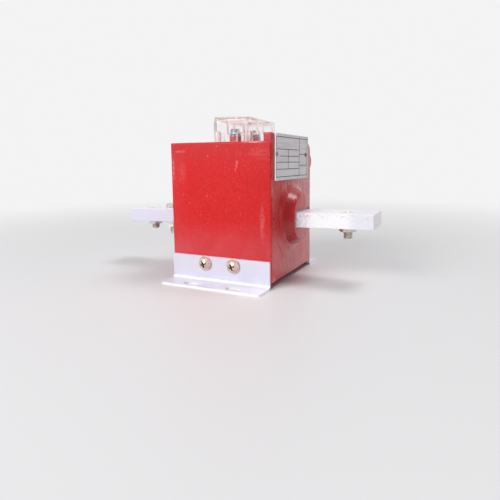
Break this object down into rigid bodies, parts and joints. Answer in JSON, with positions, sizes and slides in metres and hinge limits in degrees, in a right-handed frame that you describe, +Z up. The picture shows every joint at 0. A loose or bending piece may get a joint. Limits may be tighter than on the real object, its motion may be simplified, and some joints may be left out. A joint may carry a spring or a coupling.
{
  "type": "tape-wound current transformer",
  "caption": "Cast-resin current transformer with a through primary bar, clear-covered secondary terminals, bare rating plate and slotted mounting feet.",
  "frame": {"origin": "on the ground under the middle of the casting", "axes": "+X along the primary bar, towards the side with the rating plate; +Y from the front face to the back; +Z up"},
  "size_m": [0.2452, 0.138, 0.1436],
  "materials": {
    "resin": "semi-gloss cast resin, dusty on the side",
    "bar_aluminium": "bare, blotchy",
    "sleeve": "matt",
    "zinc_steel": "dull zinc plate",
    "nut_steel": "dull zinc plate",
    "strip_steel": "bare strip edges",
    "core_wrap": "matt",
    "enamelled_copper": "varnished copper",
    "tape": "cotton tape",
    "insert_brass": "turned",
    "terminal_steel": "bright nickel plate",
    "spring_steel": "dark spring steel",
    "clear_cover": "clear, slightly aged plastic",
    "plate_aluminium": "satin with black filled lines",
    "rivet_steel": "browned",
    "bracket_steel": "bright zinc plate, faintly violet",
    "yellow_zinc": "iridescent yellow zinc plate"
  },
  "bodies": {
    "root": {"resin_body": "resin", "primary_bar": "bar_aluminium", "bar_sleeve": "sleeve", "right_bar_screw": "zinc_steel", "right_bar_nut": "nut_steel", "left_bar_screw": "zinc_steel", "left_bar_nut": "nut_steel", "left_hex_bolt": "zinc_steel", "left_hex_nut": "nut_steel", "strip_core": "strip_steel", "core_insulation": "core_wrap", "secondary_winding": "enamelled_copper", "winding_tape": "tape", "start_lead": "enamelled_copper", "finish_lead": "enamelled_copper", "terminal_inserts": "insert_brass", "terminal_flat_washers": "terminal_steel", "terminal_spring_washers": "spring_steel", "terminal_clamp_washers": "terminal_steel", "terminal_screws": "terminal_steel", "terminal_cover": "clear_cover", "cover_screw": "terminal_steel", "cover_insert": "insert_brass", "rating_plate": "plate_aluminium", "plate_rivets": "rivet_steel", "front_bracket": "bracket_steel", "rear_bracket": "bracket_steel", "front_bracket_screws": "yellow_zinc", "rear_bracket_screws": "yellow_zinc", "bracket_inserts": "insert_brass"}
  },
  "joints": []
}
